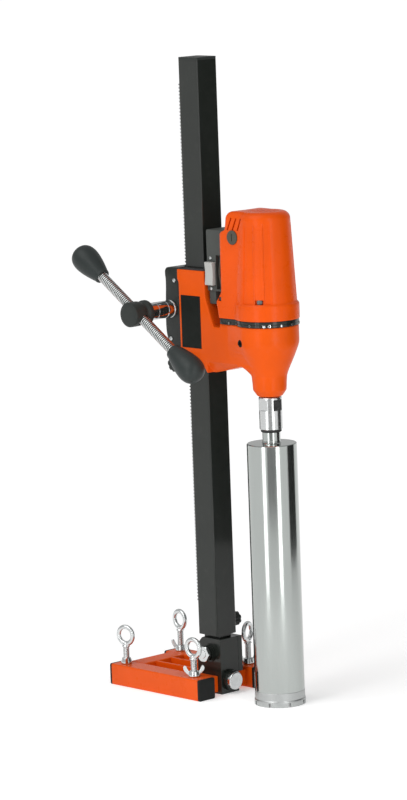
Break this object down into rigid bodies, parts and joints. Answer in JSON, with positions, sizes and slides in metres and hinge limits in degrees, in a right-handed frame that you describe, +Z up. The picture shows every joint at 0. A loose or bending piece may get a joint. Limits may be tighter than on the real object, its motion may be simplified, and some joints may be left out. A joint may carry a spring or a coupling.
{
  "type": "core drill rig",
  "caption": "Stand-mounted core drill: tilting square column on an anchor base, rack-and-pinion carriage with turnstile handle, electric gear motor and hollow diamond core bit.",
  "frame": {"origin": "on the column centreline at floor level, under the tilt foot", "axes": "+Z up along the column, +X from the column to the core bit, +Y away from the feed handle"},
  "size_m": [0.4384, 0.2362, 1.183],
  "materials": {
    "orange_paint": "gloss powder coat",
    "black_paint": "satin powder coat",
    "black_plastic": "matte",
    "grip_plastic": "satin",
    "orange_plastic": "gloss",
    "grey_plastic": "matte",
    "light_grey_plastic": "matte",
    "panel_black": "matte",
    "zinc": "bright zinc plate",
    "steel": "turned",
    "barrel_steel": "brushed along the barrel",
    "segment_steel": "matte",
    "pad_plastic": "matte",
    "rubber": "matte",
    "bearing_steel": "ground",
    "lamination": "varnished",
    "copper": "enamelled",
    "carbon": "matte",
    "brass": "turned"
  },
  "bodies": {
    "base": {"base_side_bars": "orange_paint", "base_cross_members": "orange_paint", "anchor_rails": "orange_paint", "bar_end_caps": "black_plastic", "foot_block": "black_paint", "foot_washers": "black_paint", "tilt_pivot_bolt": "zinc", "tilt_pivot_nut": "zinc", "tilt_clamp_plate": "black_paint", "foot_clamp_bolt": "zinc"},
    "column": {"column_tube": "black_paint", "column_cap": "black_plastic", "column_rack": "black_paint", "tilt_tongue": "black_paint"},
    "column_clamp_knob": {"column_clamp_knob": "black_plastic"},
    "carriage": {"carriage_casting": "orange_paint", "side_panels": "panel_black", "pinion_housing": "black_plastic", "case_screws": "zinc", "slide_pads": "pad_plastic", "column_wiper": "rubber", "feed_bushes": "zinc", "bearing_plate": "black_paint", "motor_cover": "orange_plastic", "brush_caps": "grey_plastic", "carbon_brushes": "carbon", "stator": "lamination", "ball_bearings": "bearing_steel", "shaft_seals": "rubber", "switch_box": "grey_plastic", "switch_module": "black_plastic", "cable_gland": "rubber", "water_inlet": "brass"},
    "carriage_lock_knob": {"carriage_lock_knob": "black_plastic"},
    "feed_handle": {"feed_pinion": "steel", "feed_shaft": "steel", "feed_neck_sleeve": "zinc", "handle_hub": "black_plastic", "handle_rod": "zinc", "handle_grips": "grip_plastic"},
    "rocker_switch": {"rocker_switch": "light_grey_plastic"},
    "armature": {"armature_shaft": "steel", "armature_core": "lamination", "commutator": "copper", "cooling_fan": "black_plastic"},
    "layshaft": {"layshaft_gears": "steel"},
    "spindle": {"spindle": "steel", "spindle_gear": "steel", "bit_adapter": "steel", "adapter_ring": "rubber", "core_bit": "barrel_steel", "bit_crown": "segment_steel"},
    "levelling_screw_rear_near": {"levelling_screw_rear_near": "zinc"},
    "wing_nut_rear_near": {"wing_nut_rear_near": "zinc"},
    "levelling_screw_front_near": {"levelling_screw_front_near": "zinc"},
    "wing_nut_front_near": {"wing_nut_front_near": "zinc"},
    "levelling_screw_rear_far": {"levelling_screw_rear_far": "zinc"},
    "wing_nut_rear_far": {"wing_nut_rear_far": "zinc"},
    "levelling_screw_front_far": {"levelling_screw_front_far": "zinc"},
    "wing_nut_front_far": {"wing_nut_front_far": "zinc"}
  },
  "joints": [
    {"name": "column_tilt", "type": "hinge", "parent": "base", "child": "column", "pos_m": [0, 0, 0.076], "axis": [0, -1, 0], "range_deg": [0, 45]},
    {"name": "carriage_feed", "type": "slide", "parent": "column", "child": "carriage", "axis": [0, 0, 1], "range_m": [-0.42, 0.36]},
    {"name": "feed_handle_turn", "type": "hinge", "parent": "carriage", "child": "feed_handle", "pos_m": [-0.0542, 0, 0.72], "axis": [0, 1, 0], "range_deg": [-1730, 1500]},
    {"name": "spindle_spin", "type": "hinge", "parent": "carriage", "child": "spindle", "pos_m": [0.162, 0, 0.6], "axis": [0, 0, 1], "continuous": true},
    {"name": "layshaft_spin", "type": "hinge", "parent": "carriage", "child": "layshaft", "pos_m": [0.146, 0.02049, 0.68], "axis": [0, 0, 1], "continuous": true},
    {"name": "armature_spin", "type": "hinge", "parent": "carriage", "child": "armature", "pos_m": [0.13, 0, 0.8], "axis": [0, 0, 1], "continuous": true},
    {"name": "switch_rock", "type": "hinge", "parent": "carriage", "child": "rocker_switch", "pos_m": [0.0565, -0.0345, 0.792], "axis": [1, 0, 0], "range_deg": [-6, 6]},
    {"name": "carriage_lock_turn", "type": "hinge", "parent": "carriage", "child": "carriage_lock_knob", "pos_m": [-0.02, -0.045, 0.624], "axis": [0, -1, 0], "range_deg": [-180, 0]},
    {"name": "column_clamp_turn", "type": "hinge", "parent": "column", "child": "column_clamp_knob", "pos_m": [0, 0.04, 0.13], "axis": [0, 1, 0], "range_deg": [-180, 0]},
    {"name": "levelling_rear_near_lift", "type": "slide", "parent": "base", "child": "levelling_screw_rear_near", "axis": [0, 0, 1], "range_m": [-0.01, 0.018]},
    {"name": "wing_nut_rear_near_turn", "type": "hinge", "parent": "base", "child": "wing_nut_rear_near", "pos_m": [-0.179, -0.07, 0.045], "axis": [0, 0, 1], "range_deg": [0, 180]},
    {"name": "levelling_front_near_lift", "type": "slide", "parent": "base", "child": "levelling_screw_front_near", "axis": [0, 0, 1], "range_m": [-0.01, 0.018]},
    {"name": "wing_nut_front_near_turn", "type": "hinge", "parent": "base", "child": "wing_nut_front_near", "pos_m": [0.007, -0.07, 0.045], "axis": [0, 0, 1], "range_deg": [0, 180]},
    {"name": "levelling_rear_far_lift", "type": "slide", "parent": "base", "child": "levelling_screw_rear_far", "axis": [0, 0, 1], "range_m": [-0.01, 0.018]},
    {"name": "wing_nut_rear_far_turn", "type": "hinge", "parent": "base", "child": "wing_nut_rear_far", "pos_m": [-0.179, 0.07, 0.045], "axis": [0, 0, 1], "range_deg": [0, 180]},
    {"name": "levelling_front_far_lift", "type": "slide", "parent": "base", "child": "levelling_screw_front_far", "axis": [0, 0, 1], "range_m": [-0.01, 0.018]},
    {"name": "wing_nut_front_far_turn", "type": "hinge", "parent": "base", "child": "wing_nut_front_far", "pos_m": [0.007, 0.07, 0.045], "axis": [0, 0, 1], "range_deg": [0, 180]}
  ],
  "couplings": [
    {"joint": "feed_handle_turn", "follows": "carriage_feed", "rad_per_m": 71.429},
    {"joint": "layshaft_spin", "follows": "spindle_spin", "ratio": -2.6364},
    {"joint": "armature_spin", "follows": "spindle_spin", "ratio": 9.8264}
  ]
}
